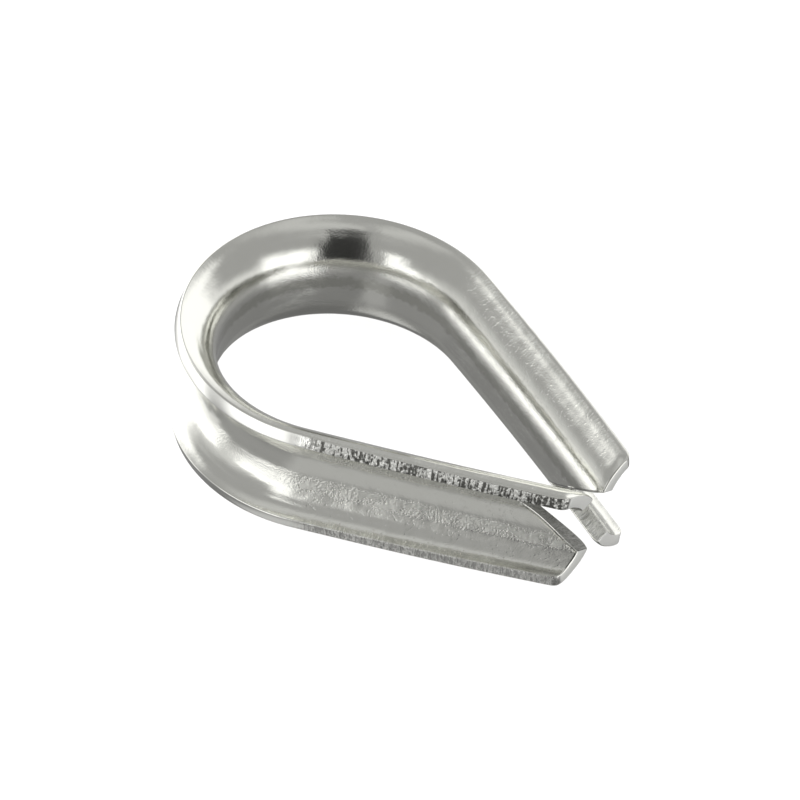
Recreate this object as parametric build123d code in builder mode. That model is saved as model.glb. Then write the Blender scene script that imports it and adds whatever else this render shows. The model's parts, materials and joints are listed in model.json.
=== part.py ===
"""Wire rope thimble: one pressed steel strip, rolled to a channel and bent to a teardrop eye.

The origin is the centre of the round crown, half way up the strip. +X points to the tip, where the
two legs meet, and +Z is square to the plane of the eye. The channel is open outwards, for the rope.
"Outwards" is away from the eye, and the "eye side" is the surface that the eye shows.
"""
from build123d import *
import math
import os

# Eye, millimetres and degrees
eye_radius = 12.0           # crown, on the eye side of the wall
tip_distance = 30.3         # crown centre to the plane where both legs are cut off
tip_skew = 5.7              # that plane is this far out of square, so the +Y leg is the longer
tip_gap = 0.5               # at the tip, between the inner corners of the two legs' flanges
leg_bow_radius = 500.0      # the legs are almost straight

# Channel section
strip_thickness = 1.5
wall_half_height = 2.4      # flat of the wall, from mid height to where the crease starts
crease_radius = 2.0         # eye side of the tight bend between wall and flange
crease_angle = 30.0         # how far the crease turns the strip outwards
flange_radius = 6.05        # eye side of the flange's long curve, at the crown
flange_angle = 73.5         # from the vertical to the flange's edge, at the crown
tip_flange_radius = 4.8     # the same two at the tip, where the flange is curled flatter
tip_flange_angle = 85.0

# Leg ends
web_cut_margin = 0.1        # the wall is cut away to this far short of the crease's end
web_cut_length = 9.2        # how far back from the tip the slanting cut across the wall runs
web_cut_taper = 30.0        # the cut's faces lean with the bent sheet, narrower outwards
flange_corner_radius = 0.8  # outer corners of the flanges
trim_allowance = 2.0        # spare length before the legs are cut off

# Each leg is an arc that touches the crown's arc. At the tip its flange starts at half of the gap. The wall, cut away there, would be further in by what the crease moves the flange outwards.
crease_rise = crease_radius * math.sin(math.radians(crease_angle)) - web_cut_margin
web_cut_half_height = wall_half_height + crease_rise
crease_inset = crease_radius - math.sqrt(crease_radius**2 - crease_rise**2)
tip_point = Vector(tip_distance, tip_gap / 2 - crease_inset)
bow_offset = eye_radius - leg_bow_radius
reach = (tip_point.length**2 + bow_offset**2 - leg_bow_radius**2) / (2 * bow_offset)
tip_bearing = math.atan2(tip_point.Y, tip_point.X)
leg_angle = math.degrees(math.asin(reach / tip_point.length) - tip_bearing)
leg_outward = Vector(0, 1).rotate(Axis.Z, -leg_angle)
bow_centre = leg_outward * bow_offset
tip_angle = math.degrees(math.asin((tip_point.X - bow_centre.X) / leg_bow_radius))
tip_outward = Vector(0, 1).rotate(Axis.Z, -tip_angle)
end_angle = tip_angle + math.degrees(trim_allowance / leg_bow_radius)
end_outward = Vector(0, 1).rotate(Axis.Z, -end_angle)


def section_plane(origin, away):
    """Plane square to the strip, with its x outwards and its y up."""
    return Plane(origin=origin, x_dir=away, z_dir=away.cross(Vector(0, 0, 1)))


def channel_section(plane, radius, angle):
    """The whole channel section, from one flange edge to the other, as a face on plane."""
    crease_centre = Vector(crease_radius, wall_half_height)
    flange_centre = crease_centre + Vector(radius - crease_radius, 0).rotate(Axis.Z, -crease_angle)
    turn = angle - crease_angle
    with BuildSketch(plane) as section:
        with BuildLine():
            Line((0, 0), (0, wall_half_height))
            CenterArc(crease_centre, crease_radius, 180, -crease_angle)
            eye_side = CenterArc(flange_centre, radius, 180 - crease_angle, -turn)
            groove_side = CenterArc(flange_centre, radius - strip_thickness, 180 - crease_angle, -turn)
            Line(eye_side @ 1, groove_side @ 1)
            CenterArc(crease_centre, crease_radius - strip_thickness, 180, -crease_angle)
            Line((strip_thickness, wall_half_height), (strip_thickness, 0))
            mirror(about=Plane.XZ)
        make_face()
    return section.sketch


leg_start = leg_outward * eye_radius
leg_end = bow_centre + end_outward * leg_bow_radius
crown_section = channel_section(section_plane(leg_start, leg_outward), flange_radius, flange_angle)
end_section = channel_section(section_plane(leg_end, end_outward), tip_flange_radius, tip_flange_angle)

# Crown: the section turned about the eye's axis, a little more than half way round.
with BuildPart() as crown:
    revolve(crown_section, axis=Axis.Z, revolution_arc=180 + 2 * leg_angle)

# Cutter for the wall at the tip of the leg on the +Y side. Drawn on the wall's eye side, seen from
# inside the eye: it slants from the upper crease at the tip back to the lower crease.
slope = 2 * web_cut_half_height / web_cut_length
overrun = web_cut_length / 2
cut_plane = Plane(origin=tip_point, x_dir=tip_outward.cross(Vector(0, 0, 1)), z_dir=tip_outward)
with BuildPart() as web_cutter:
    with BuildSketch(cut_plane):
        with BuildLine():
            Polyline(
                (-web_cut_length, web_cut_half_height),
                (overrun, -web_cut_half_height - overrun * slope),
                (overrun, web_cut_half_height),
                close=True,
            )
        make_face()
    extrude(amount=2 * strip_thickness, taper=web_cut_taper)
    extrude(faces().sort_by(SortBy.AREA)[-1], amount=strip_thickness)


def cut_leg(skew):
    """Leg on the +Y side: its flanges curl flatter along it, and it is cut off near square to +X."""
    tip_plane = Plane(origin=(tip_distance, 0), z_dir=Vector(1, 0).rotate(Axis.Z, -skew))
    with BuildPart() as leg:
        with BuildLine():
            CenterArc(bow_centre, leg_bow_radius, 90 - leg_angle, leg_angle - end_angle)
        sweep(sections=[crown_section, end_section], multisection=True)
        split(bisect_by=tip_plane, keep=Keep.BOTTOM)
        add(web_cutter.part, mode=Mode.SUBTRACT)
        end_edges = edges().filter_by(lambda edge: abs(tip_plane.to_local_coords(edge @ 0.5).Z) < 0.01)
        fillet(end_edges.sort_by(Axis.Y)[-2:], flange_corner_radius)
    return leg.part


# The other leg is the same shape turned half way round +X, so both ends of the strip slant alike.
with BuildPart() as thimble:
    add(crown.part)
    add(cut_leg(tip_skew))
    add(cut_leg(-tip_skew).rotate(Axis.X, 180))

thimble.part.label = "thimble"
os.makedirs("parts", exist_ok=True)
export_step(thimble.part, "parts/thimble.step")
print("leg angle", round(leg_angle, 2), "tip angle", round(tip_angle, 2))
print("size", thimble.part.bounding_box().size, "solids", len(thimble.part.solids()))
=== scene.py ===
# %% [markdown]
# # A wire rope thimble
#
# A thimble lines the eye at the end of a wire rope, so that the rope bends round a smooth groove and
# not round the bare pin of a shackle. This one starts as a flat strip of stainless steel. The strip
# is sheared to length, rolled to a channel and bent round a former until its two ends meet.
#
# The mesh is made in the same order. It could be modelled straight in its bent shape, but a flat
# blank is easy to cut and to bevel, and each point keeps its place on the flat strip as an
# attribute. The finish uses that place later: grain runs along the strip and shear marks run
# across its edge, wherever the bending has taken them.
#
# The CAD part is loaded first. It fixes the size and the place of everything below.

# %% Load the CAD part
import json
import math

import bmesh
import bpy
from mathutils import Matrix, Vector


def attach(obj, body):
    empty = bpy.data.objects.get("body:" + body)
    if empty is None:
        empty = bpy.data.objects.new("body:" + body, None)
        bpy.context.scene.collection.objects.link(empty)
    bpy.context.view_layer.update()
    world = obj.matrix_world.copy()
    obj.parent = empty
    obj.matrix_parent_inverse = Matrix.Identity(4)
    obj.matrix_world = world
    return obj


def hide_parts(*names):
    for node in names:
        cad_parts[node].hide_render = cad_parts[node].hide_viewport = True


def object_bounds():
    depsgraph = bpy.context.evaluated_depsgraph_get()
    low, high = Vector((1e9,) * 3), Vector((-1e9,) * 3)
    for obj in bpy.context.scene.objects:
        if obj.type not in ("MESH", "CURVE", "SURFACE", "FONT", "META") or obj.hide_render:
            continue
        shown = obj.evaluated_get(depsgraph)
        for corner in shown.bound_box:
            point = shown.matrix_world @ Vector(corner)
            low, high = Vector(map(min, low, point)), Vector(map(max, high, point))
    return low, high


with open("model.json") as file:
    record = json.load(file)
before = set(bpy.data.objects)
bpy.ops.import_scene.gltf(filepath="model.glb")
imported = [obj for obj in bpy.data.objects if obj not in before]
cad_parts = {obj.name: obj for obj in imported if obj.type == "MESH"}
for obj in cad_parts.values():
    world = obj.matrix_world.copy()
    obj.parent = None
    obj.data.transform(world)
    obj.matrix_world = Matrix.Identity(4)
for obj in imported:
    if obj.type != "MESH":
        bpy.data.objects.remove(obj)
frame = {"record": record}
cad_box = [list(corner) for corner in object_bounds()]
print("CAD box in metres", cad_box)

# %% [markdown]
# ## Sizes of the strip
#
# The blank is worked in millimetres and brought to metres at the end, because the operators' small
# distances are easier to read that way. The crown's radius and the height of the wall's flat come
# from the record's clamp mount. The rest are the part's own driving sizes.

# %% Sizes in millimetres
mounts = {mount["name"]: mount for mount in frame["record"]["mounts"]}
crown_radius = mounts["eye_crown"]["dims"]["r_mm"]
wall_half = mounts["eye_crown"]["dims"]["length_mm"] / 2
tip_distance = 30.3

thickness = 1.5
crease_radius = 2.0
crease_turn = math.radians(30)
flange_radius, flange_turn = 6.05, math.radians(73.5)
tip_flange_radius, tip_flange_turn = 4.8, math.radians(85)
tip_gap = 0.5
bow_radius = 500.0
spare_length = 2.0
cut_length = 9.2
cut_margin = 0.1
corner_radius = 0.8
tip_slope = 0.1             # the tip's plane is out of square by this much to one side

# %% Where the legs leave the crown and where they end
crease_rise = crease_radius * math.sin(crease_turn) - cut_margin
crease_inset = crease_radius - math.sqrt(crease_radius**2 - crease_rise**2)
tip_point = Vector((tip_distance, tip_gap / 2 - crease_inset))
bow_offset = crown_radius - bow_radius
reach = (tip_point.length_squared + bow_offset**2 - bow_radius**2) / (2 * bow_offset)
leg_angle = math.asin(reach / tip_point.length) - math.atan2(tip_point.y, tip_point.x)
bow_centre = Vector((math.sin(leg_angle), math.cos(leg_angle))) * bow_offset
tip_angle = math.asin((tip_distance - bow_centre.x) / bow_radius)

crown_half = crown_radius * (math.pi / 2 + leg_angle)
leg_length = bow_radius * (tip_angle - leg_angle)
half_length = crown_half + leg_length
crease_end = wall_half + crease_radius * crease_turn
flange_width = flange_radius * (flange_turn - crease_turn)
half_width = crease_end + flange_width
cut_height = wall_half + crease_radius * math.asin(crease_rise / crease_radius)
print("flat strip %.1f x %.1f mm, legs at %.1f degrees" % (
    2 * half_length, 2 * half_width, math.degrees(leg_angle)))

# %% [markdown]
# ## The flat blank
#
# One grid is the whole strip. Its rows and columns aren't evenly spaced: they are set so that the
# crease, the ends of the crown and the slanting cut across the wall all fall on grid lines, and then
# every cut runs from corner to corner of clean cells. The cells stay near a quarter of a millimetre,
# because a polished surface shows every facet that is larger.

# %% Rows and columns
cell_length = 0.255
flange_cell_height = 0.21
cut_cells = round(cut_length / cell_length)
leg_cells = round((leg_length - cut_length) / cell_length)
crown_cells = round(2 * crown_half / cell_length)
flange_cells = round((half_width - cut_height) / flange_cell_height)


def stations(*runs):
    """Positions along a line from runs of (end, cells), starting at the first run's end."""
    places = [runs[0][0]]
    for end, cells in runs[1:]:
        start = places[-1]
        places += [start + (end - start) * step / cells for step in range(1, cells + 1)]
    return places


columns = stations(
    (-half_length, 0), (-half_length + cut_length, cut_cells), (-crown_half, leg_cells),
    (crown_half, crown_cells), (half_length - cut_length, leg_cells), (half_length, cut_cells))
rows = stations(
    (-half_width, 0), (-cut_height, flange_cells), (cut_height, cut_cells),
    (half_width, flange_cells))
print(len(columns) - 1, "cells along,", len(rows) - 1, "across")

# %% Lay out the grid
blank = bmesh.new()
bmesh.ops.create_grid(
    blank, x_segments=len(columns) - 1, y_segments=len(rows) - 1, size=1.0)
for vert in blank.verts:
    column = round((vert.co.x + 1) / 2 * (len(columns) - 1))
    row = round((vert.co.y + 1) / 2 * (len(rows) - 1))
    vert.co = (columns[column], rows[row], 0)

# %% Round the four outer corners
for vert in blank.verts:
    over = Vector((abs(vert.co.x) - half_length, abs(vert.co.y) - half_width))
    over += Vector((corner_radius, corner_radius))
    if min(over) > 0:
        over *= max(over) / over.length
        vert.co.x = math.copysign(half_length - corner_radius + over.x, vert.co.x)
        vert.co.y = math.copysign(half_width - corner_radius + over.y, vert.co.y)

# %% [markdown]
# ## The slanting cut
#
# At each end the wall is cut away on a slant, from the crease at the very tip back to the other
# crease, so that only the flanges of the two legs meet. Both ends are cut by the same shear, and so
# the two slants are parallel on the flat strip.

# %% Cut the wall at both ends
slant = Vector((cut_length, 2 * cut_height, 0))
slant_normal = Vector((slant.y, -slant.x, 0)).normalized()
for end in (1, -1):
    corner = Vector((half_length, cut_height, 0)) * end
    near_tip = [
        face for face in blank.faces
        if face.calc_center_median().x * end > half_length - cut_length
        and abs(face.calc_center_median().y) < cut_height]
    edges = {edge for face in near_tip for edge in face.edges}
    verts = {vert for face in near_tip for vert in face.verts}
    cut = bmesh.ops.bisect_plane(
        blank, geom=near_tip + list(edges) + list(verts), dist=1e-4,
        plane_co=corner, plane_no=slant_normal * end)
    offcut = [
        face for face in cut["geom"] if isinstance(face, bmesh.types.BMFace)
        and (face.calc_center_median() - corner).dot(slant_normal) * end > 0]
    bmesh.ops.delete(blank, geom=offcut, context="FACES")
print("blank has", len(blank.faces), "faces")

# %% [markdown]
# ## Thickness and edges
#
# The flat sheet is extruded to the strip's thickness. Its sheared edges aren't razor sharp on the
# real part, so every edge round the outline gets a small round bevel. The sides of the sheet that
# the shear has cut are marked now, while they are easy to tell: they are the faces that stand
# upright.

# %% Extrude, bevel and mark the sheared faces
sharp_angle = math.radians(50)
edge_bevel = 0.16
upright = 0.3               # a face whose normal rises by less than this stands upright
solid = bmesh.ops.extrude_face_region(blank, geom=blank.faces[:], use_keep_orig=True)
raised = [item for item in solid["geom"] if isinstance(item, bmesh.types.BMVert)]
bmesh.ops.translate(blank, verts=raised, vec=(0, 0, thickness))
bmesh.ops.recalc_face_normals(blank, faces=blank.faces)
outline = [edge for edge in blank.edges if edge.calc_face_angle(0) > sharp_angle]
bmesh.ops.bevel(
    blank, geom=outline, offset=edge_bevel, segments=3, profile=0.5, affect="EDGES", material=-1)
for face in blank.faces:
    face.smooth = True
    face.material_index = 1 if abs(face.normal.z) < upright else 0
open_edges = sum(1 for edge in blank.edges if not edge.is_manifold)
print("solid blank has", len(blank.faces), "faces and", open_edges, "open edges")

# %% [markdown]
# The slanting cut isn't square to the sheet. On the groove side it stays nearer to the tip, by
# nothing at the tip itself and by `cut_lean` at its far end. Points are slid along the strip, most
# at the cut and less further away, so that the cells stay even.

# %% Lean the slanting cuts
cut_lean = 1.6
lean_run = 5.0
for vert in blank.verts:
    end = math.copysign(1, vert.co.x)
    share = min(1, max(0, (cut_height - vert.co.y * end) / (2 * cut_height)))
    from_cut = abs(abs(vert.co.x) - half_length + share * cut_length)
    slide = cut_lean * share * max(0, 1 - from_cut / lean_run) * vert.co.z / thickness
    vert.co.x += end * slide

# %% [markdown]
# ## Forming
#
# Forming moves each point of the flat blank to its place on the bent channel. `section_place` bends
# the strip across: a flat wall, a crease and a long curve out to the flange's edge. A press rounds a
# crease more than the drawing does, most of all inside the groove, and the rope former dishes the
# groove's bottom. `formed` bends it along: round the crown, and then down a leg that is almost
# straight. The flanges curl flatter towards the tip, and each line along a leg is stretched or
# shrunk a little, so that all of them end in one plane.

# %% How soft the creases are, and how far the shear has rolled the eye side's edges over
eye_side_spread = 2.0
groove_side_spread = 2.4
hollow_half = 3.0
hollow_rise = 0.45
roll_width = 1.1
roll_depth = 0.2
crown_roll_depth = 0.06
roll_run = 8.0              # the roll-over changes from the crown's to the legs' over this length


# %% Bend across and along
def between(start, end, share):
    return start + (end - start) * share


def hollow(height):
    """How much a groove side point stands further out, because the rope former has dished it."""
    if height <= hollow_half:
        return hollow_rise * (height**2 / hollow_half**2 - 1 / 3)
    return hollow_rise * 2 / 3 * max(0, 2 - height / hollow_half)


def crisp_place(across, depth, curl):
    """How far outwards and how high a point of the sheet lies on the section, as it is drawn."""
    height = abs(across)
    if height <= wall_half:
        return depth + hollow(height) * depth / thickness, across
    if height <= crease_end:
        turn = (height - wall_half) / crease_radius
        radius = crease_radius
    else:
        radius = between(flange_radius, tip_flange_radius, curl)
        edge_turn = between(flange_turn, tip_flange_turn, curl)
        turn = between(crease_turn, edge_turn, (height - crease_end) / flange_width)
    outwards = crease_radius + (radius - crease_radius) * math.cos(crease_turn)
    upwards = wall_half - (radius - crease_radius) * math.sin(crease_turn)
    outwards += hollow(height) * depth / thickness - (radius - depth) * math.cos(turn)
    upwards += (radius - depth) * math.sin(turn)
    return outwards, math.copysign(upwards, across)


def section_place(across, depth, curl):
    """The section as it is pressed: the mean of nearby places on the drawn one, so creases are soft."""
    spread = between(eye_side_spread, groove_side_spread, depth / thickness)
    spread = min(spread, half_width - abs(across))
    outwards = upwards = 0
    for step in range(-4, 5):
        share = (5 - abs(step)) / 25
        place = crisp_place(across + spread * step / 4, depth, curl)
        outwards += place[0] * share
        upwards += place[1] * share
    return outwards, upwards


def formed(place):
    """Where a point of the flat blank ends up. Both legs run the same way but for the side."""
    along, across, depth = place
    from_edge = min(half_width - abs(across), half_length - abs(along))
    on_leg = min(1, max(0, (abs(along) - crown_half) / roll_run + 0.5))
    deepest = between(crown_roll_depth, roll_depth, on_leg)
    rolled_over = max(0, 1 - from_edge / roll_width) ** 2 * deepest
    depth += rolled_over * (1 - depth / thickness)
    past_crown = abs(along) - crown_half
    if past_crown <= 0:
        outwards, upwards = section_place(across, depth, 0)
        turn = abs(along) / crown_radius
        x = -(crown_radius + outwards) * math.cos(turn)
        y = (crown_radius + outwards) * math.sin(turn)
    else:
        curl = past_crown / (leg_length + spare_length)
        outwards, upwards = section_place(across, depth, curl)
        radius = bow_radius + outwards
        slope = math.copysign(tip_slope, along)
        last = math.asin(
            (tip_distance - bow_centre.x + slope * bow_centre.y)
            / (radius * math.hypot(1, slope))) + math.atan(slope)
        bearing = between(leg_angle, last, past_crown / leg_length)
        x = bow_centre.x + radius * math.sin(bearing)
        y = bow_centre.y + radius * math.cos(bearing)
    return Vector((x, math.copysign(y, along), upwards))


# %% Form the blank and keep each point's flat place
flat_layer = blank.verts.layers.float_vector.new("flat")
for vert in blank.verts:
    vert[flat_layer] = vert.co
    vert.co = formed(vert.co)
bmesh.ops.scale(blank, vec=(0.001, 0.001, 0.001), verts=blank.verts)
bmesh.ops.recalc_face_normals(blank, faces=blank.faces)
mesh = bpy.data.meshes.new("thimble_strip")
blank.to_mesh(mesh)
blank.free()
thimble = bpy.data.objects.new("thimble_strip", mesh)
bpy.context.scene.collection.objects.link(thimble)
print("thimble box", [tuple(round(v, 5) for v in corner) for corner in thimble.bound_box][::6])

# %% [markdown]
# ## Finishes
#
# Two finishes cover the strip. The sheet is bright rolled stainless steel that has been formed and
# tumbled: it mirrors the room softly, with a fine grain where the bends have stretched it. The
# sheared edge is the raw cut: rougher, with marks that the blade left across the thickness. A
# picture of steel could be wrapped round the part, but patterns worked out from the flat place need
# no picture, and follow every bend.
#
# `Wire` wraps one socket, so that patterns can be written as sums and products.

# %% A socket that can be added and multiplied
class Wire:
    """One output socket. Arithmetic on wires and numbers adds Math nodes."""

    def __init__(self, socket):
        self.socket = socket
        self.tree = socket.id_data

    def add(self, kind, settings=None, inputs=None, output=0):
        """A new node: its type, its settings, what goes into its sockets, and which output to use."""
        node = self.tree.nodes.new(kind)
        for name, value in (settings or {}).items():
            setattr(node, name, value)
        for name, value in (inputs or {}).items():
            if isinstance(value, Wire):
                self.tree.links.new(value.socket, node.inputs[name])
            else:
                node.inputs[name].default_value = value
        return Wire(node.outputs[output])

    def math(self, operation, *others):
        inputs = dict(enumerate((self, *others)))
        return self.add("ShaderNodeMath", {"operation": operation}, inputs)

    def __add__(self, other):
        return self.math("ADD", other)

    __radd__ = __add__

    def __mul__(self, other):
        return self.math("MULTIPLY", other)

    __rmul__ = __mul__

    def __sub__(self, other):
        return self.math("SUBTRACT", other)

    def __rsub__(self, other):
        return self * -1 + other

    def __abs__(self):
        return self.math("ABSOLUTE")

    def ramp(self, low, high):
        """0 below low and 1 above high, or the other way round if low is the larger."""
        return self.add(
            "ShaderNodeMapRange", {"interpolation_type": "SMOOTHSTEP"},
            {"Value": self, "From Min": low, "From Max": high})

    def noise(self, scale, detail=2.0, stretch=(1, 1, 1), seed=0.0):
        """Noise between 0 and 1 on this vector, with scale patches to the unit."""
        place = self.add(
            "ShaderNodeVectorMath", {"operation": "MULTIPLY_ADD"},
            {0: self, 1: stretch, 2: (seed, seed, seed)})
        return self.add(
            "ShaderNodeTexNoise", {"normalize": True},
            {"Vector": place, "Scale": scale, "Detail": detail, "Roughness": 0.55}, "Fac")

    def mix(self, low, high):
        """A colour between low and high, as this wire goes from 0 to 1."""
        return self.add(
            "ShaderNodeMix", {"data_type": "RGBA"}, {"Factor": self, 6: low, 7: high}, 2)

    def parts(self):
        """This vector's x, y and z."""
        return [self.add("ShaderNodeSeparateXYZ", None, {0: self}, part) for part in "XYZ"]


def finish(name, metallic):
    """A new material, its shader, and the flat place as a wire and as its three parts."""
    material = bpy.data.materials.new(name)
    material.use_nodes = True
    shader = material.node_tree.nodes["Principled BSDF"]
    shader.inputs["Metallic"].default_value = metallic
    place = Wire(shader.outputs[0]).add(
        "ShaderNodeAttribute", {"attribute_name": "flat"}, None, "Vector")
    return material, shader, place, *place.parts()


def connect(shader, **wires):
    """Plugs wires into the shader's sockets, with _ for each space in a socket's name."""
    for name, wire in wires.items():
        wire.tree.links.new(wire.socket, shader.inputs[name.replace("_", " ")])


# %% [markdown]
# The sheet's bump has four parts. A faint unevenness lies all over. The wall and the crease beside it
# have an orange-peel grain, most of all in the legs' groove, because the outside of a tight bend is
# stretched, and it is a little darker there. Near the sheared edge, fine marks run across the border
# of the legs. A few pits and specks are scattered on the legs, where the strip was held.
#
# The wall inside the eye is painted darker than the rest as painted shade, with one band of painted
# shade just above mid height.

# %% Polished sheet
sheet, shader, place, along, across, depth = finish("polished_sheet", 1.0)
height = abs(across)
leg_share = abs(along).ramp(crown_half - 8, crown_half + 4)
groove_side = depth.ramp(0.4, 1.1)
uneven = place.noise(0.4, 1.0)
ripple = place.noise(1.1, 2.0, seed=4)
grain = place.noise(5.6, 1.5, seed=7)
patches = place.noise(0.5, 2.0, seed=3)

crease_band = height.ramp(1.0, 1.8) * height.ramp(3.9, 3.1)
stretched = crease_band * (0.35 + 0.65 * groove_side * leg_share)
stretched = stretched * (0.6 + 0.4 * patches.ramp(0.4, 0.6))
border = height.ramp(half_width - 1.2, half_width - 0.2) * leg_share
border_marks = place.noise(3.2, 2.0, stretch=(1, 0.15, 0.15), seed=5) * border
specks = place.noise(3.0, 1.0, seed=11).ramp(0.58, 0.70) * leg_share * patches.ramp(0.42, 0.55)

relief = uneven + 0.2 * ripple + 0.1 * grain + grain * stretched
relief = relief + 0.28 * border_marks - 0.12 * specks
bump = relief.add(
    "ShaderNodeBump", None, {"Height": relief, "Strength": 1.0, "Distance": 0.00005}, "Normal")
eye_side = depth.ramp(0.8, 0.3)
# painted shade: the colour of the wall inside the eye is darkened
eye_wall_shade = height.ramp(2.5, 1.7) * eye_side
# painted shade: a dark band with a ragged edge on the eye side, just above mid height
ragged = place.noise(1.6, 3.0, seed=13)
wandering = across + ragged * 1.6 - 0.8
painted_shade_band = wandering.ramp(-0.2, 0.4) * wandering.ramp(1.7, 1.0) * eye_side
tone = patches.mix((0.81, 0.81, 0.755, 1), (0.86, 0.86, 0.81, 1))
# the painted shade inside the eye
tone = eye_wall_shade.mix(tone, (0.68, 0.68, 0.64, 1))
tone = (stretched * groove_side * 0.25).mix(tone, (0.42, 0.42, 0.39, 1))
# the painted shade band darkens the colour
tone = (painted_shade_band * 0.45).mix(tone, (0.36, 0.36, 0.31, 1))
shine = 0.12 + 0.05 * patches + 0.12 * stretched + 0.04 * crease_band + 0.06 * border
connect(shader, Base_Color=tone, Roughness=shine, Normal=bump)

# %% [markdown]
# The sheared edge is smooth round the crown, where the tumbling has reached it, and keeps its marks
# along the legs. The marks are long across the thickness and narrow along the strip, so the noise
# is stretched that way. The flat ends are paler and rougher, and one of the two slanting cuts is
# painted darker than the other, as painted shade.

# %% Sheared edge
edge, shader, place, along, across, _ = finish("sheared_edge", 1.0)
flat_end = abs(along).ramp(half_length - 0.1, half_length - 0.02)
marked = abs(along).ramp(crown_half - 0.5, crown_half + 3) * (1 - flat_end)
marked = marked * (0.35 + 0.65 * across.ramp(-half_width + 0.5, -cut_height))
inner = abs(across).ramp(half_width - 2, half_width - 3) * (1 - flat_end)
# painted shade: one of the two slanting cuts is darkened in its colour
painted_shade_cut = inner * along.ramp(1, -1)
streaks = place.noise(3.4, 2.0, stretch=(1, 0.2, 0.16), seed=2)
crumbs = place.noise(3.6, 2.0, stretch=(1, 1, 0.7), seed=9)
marks = 0.6 * streaks + 0.4 * crumbs
torn = marked * marks
bump = torn.add(
    "ShaderNodeBump", None, {"Height": torn, "Strength": 1.0, "Distance": 0.0005}, "Normal")
gaps = marked * marks.ramp(0.54, 0.44) * (1 - 0.7 * inner)
# dark gaps between the shear marks, plus the painted shade on one slanting cut
shade = gaps * 0.95 + painted_shade_cut * (1 - gaps) * 0.75
tone = shade.mix((0.85, 0.85, 0.81, 1), (0.10, 0.10, 0.09, 1))
tone = flat_end.mix(tone, (0.97, 0.97, 0.94, 1))
shine = 0.2 + 0.14 * marked + 0.4 * flat_end
connect(shader, Base_Color=tone, Roughness=shine, Normal=bump)

# %% Hand the strip its finishes
mesh.materials.append(sheet)
mesh.materials.append(edge)
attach(thimble, "root")
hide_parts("thimble")

# %% [markdown]
# ## Floor
#
# The thimble lies on plain white paper. The floor is bright but isn't seen in the metal, because the
# room's own lower half stands for it there, and can be set apart from it.

# %% Floor
floor_mesh = bpy.data.meshes.new("floor")
floor_bm = bmesh.new()
bmesh.ops.create_grid(floor_bm, x_segments=1, y_segments=1, size=1.5)
bmesh.ops.translate(floor_bm, verts=floor_bm.verts, vec=(0, 0, cad_box[0][2]))
floor_bm.to_mesh(floor_mesh)
floor_bm.free()
floor = bpy.data.objects.new("floor", floor_mesh)
bpy.context.scene.collection.objects.link(floor)
paper = bpy.data.materials.new("paper")
paper.use_nodes = True
paper_shader = paper.node_tree.nodes["Principled BSDF"]
paper_shader.inputs["Base Color"].default_value = (0.9, 0.9, 0.9, 1)
paper_shader.inputs["Roughness"].default_value = 0.9
paper_shader.inputs["Specular IOR Level"].default_value = 0.0
floor_mesh.materials.append(paper)
floor.visible_glossy = False

# %% [markdown]
# ## Camera
#
# A long lens from above and to one side shows the eye, the groove and the tip at once, with hardly
# any perspective. The camera is turned about the vertical, raised, and rolled a little.

# %% Camera
turned, raised, rolled = (math.radians(angle) for angle in (33.71, 42.93, 5.67))
right = Vector((math.cos(turned), math.sin(turned), 0))
back = Vector((
    math.sin(turned) * math.cos(raised), -math.cos(turned) * math.cos(raised), math.sin(raised)))
up = back.cross(right)
right, up = (
    right * math.cos(rolled) + up * math.sin(rolled),
    up * math.cos(rolled) - right * math.sin(rolled))
aim = Vector((0.00695, 0.0, 0.00087))
camera_distance = 1.0
camera = bpy.data.objects.new("camera", bpy.data.cameras.new("camera"))
camera.data.sensor_width = 36
camera.data.lens = 475.3
camera.data.clip_end = 10
place = Matrix((right, up, back)).transposed().to_4x4()
place.translation = aim + back * camera_distance
camera.matrix_world = place
bpy.context.scene.collection.objects.link(camera)
bpy.context.scene.camera = camera

# %% [markdown]
# ## The room
#
# Polished metal has no look of its own: it shows the room. This room is a tent of grey cloth with
# soft lights on four sides at about the part's height, and a dark gap at the front where the
# camera looks in. Lamps and cards could be built as objects. Here the room is painted on the
# world instead, by direction, because then each light is one line with a place and a size. Later
# patches lie over earlier ones.

# %% Tent with soft lights
world = bpy.data.worlds.new("tent")
world.use_nodes = True
bpy.context.scene.world = world
background = world.node_tree.nodes["Background"]
direction = Wire(background.outputs[0]).add("ShaderNodeTexCoord", None, None, "Generated")
east, north, rise = direction.parts()
bearing = north.math("ARCTAN2", east)
lift = rise.math("ARCSINE")


def patch(room, bearing_at, lift_at, half_wide, half_high, soft, brightness):
    """Lays a soft-edged patch over the room's brightness. All angles are in degrees."""
    away = (bearing - math.radians(bearing_at)).math("WRAP", math.pi, -math.pi)
    beside = abs(away).ramp(math.radians(half_wide + soft), math.radians(half_wide - soft))
    above = abs(lift - math.radians(lift_at)).ramp(
        math.radians(half_high + soft), math.radians(half_high - soft))
    share = beside * above
    return room + share * (brightness - room)


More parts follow.
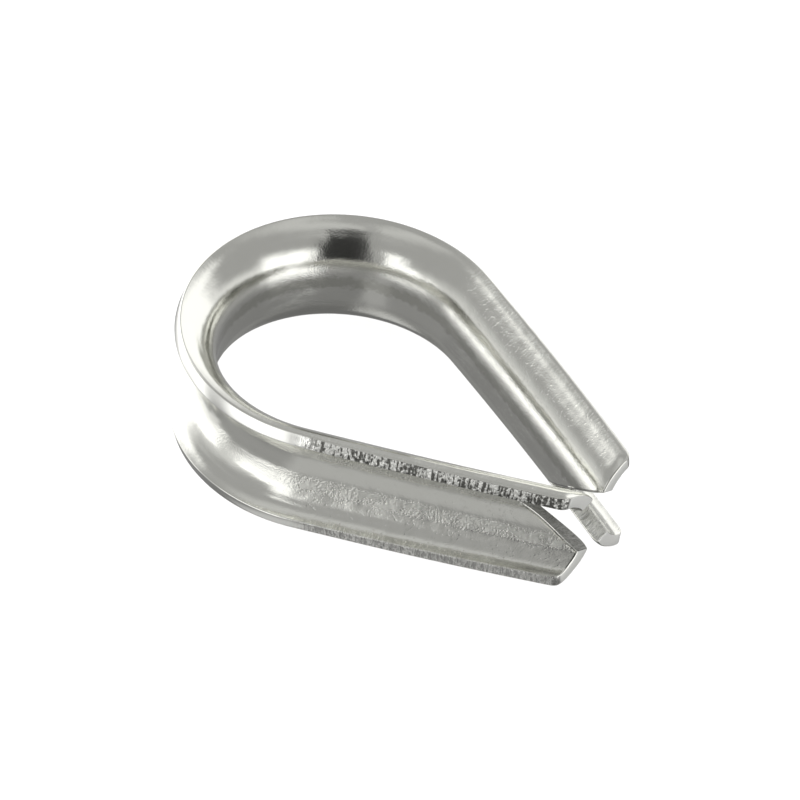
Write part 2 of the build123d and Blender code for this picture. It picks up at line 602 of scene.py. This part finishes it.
room = 0.16 + 0.11 * lift.ramp(math.radians(-66), math.radians(-50))
room = room + 0.12 * lift.ramp(math.radians(-45), math.radians(-20))
patches = (
    # bearing, lift, half width, half height, softness, brightness
    (20, 72, 85, 9, 10, 0.6),            # overhead cloth, over the back and the right
    (228, 72, 45, 9, 10, 0.6),           # overhead cloth, over the left
    (225, 0, 32, 20, 12, 0.7),           # left, grey
    (262, -72, 25, 10, 10, 0.6),         # steep below the front
    (235, -44, 38, 9, 7, 0.34),          # paper at the left
    (280, -42, 11, 14, 5, 0.48),         # paper at the front
    (210, -74, 35, 9, 6, 0.6),           # steep below the left
    (294, -12, 10, 20, 6, 0.27),         # darker paper and cloth under the gap
    (120, 10, 25, 30, 12, 0.42),         # back left, grey
    (35, 5, 30, 13, 8, 0.8),             # back right
    (195, -14, 20, 18, 5, 1.6),          # left light
    (193, -33, 8, 6, 3, 0.75),           # left light's foot
    (165, 8, 26, 39, 10, 1.55),          # left light, the tall one
    (264, -3, 13, 22, 3, 1.5),           # front light
    (248, -8, 14, 17, 6, 1.5),           # front light's left half
    (270, 20, 8, 19, 5, 1.35),           # front light's top
    (354, -1, 22, 34, 8, 1.4),           # right light
    (88, 20, 24, 24, 9, 1.25),           # back light
    (311, 27, 20, 37, 5, 0.03),          # the gap that the camera looks through
)
for place_and_look in patches:
    room = patch(room, *place_and_look)
tint = room.add("ShaderNodeCombineColor", None, {"Red": room, "Green": room, "Blue": room})
diffuse_ray = room.add("ShaderNodeLightPath", None, None, "Is Diffuse Ray")
connect(background, Color=tint, Strength=1 - 0.5 * diffuse_ray)
print("tent with", len(patches), "patches")

# %% [markdown]
# A lamp overhead whitens the paper. It isn't seen in the metal either, so the room alone makes the
# reflections. It throws no shadow: the faint one under the part comes from the tent.

# %% Overhead lamp
lamp = bpy.data.objects.new("overhead", bpy.data.lights.new("overhead", "SUN"))
lamp.data.energy = 3.1
lamp.data.angle = math.radians(60)
lamp.data.use_shadow = False
lamp.visible_glossy = False
bpy.context.scene.collection.objects.link(lamp)
bpy.context.scene.view_settings.view_transform = "Standard"
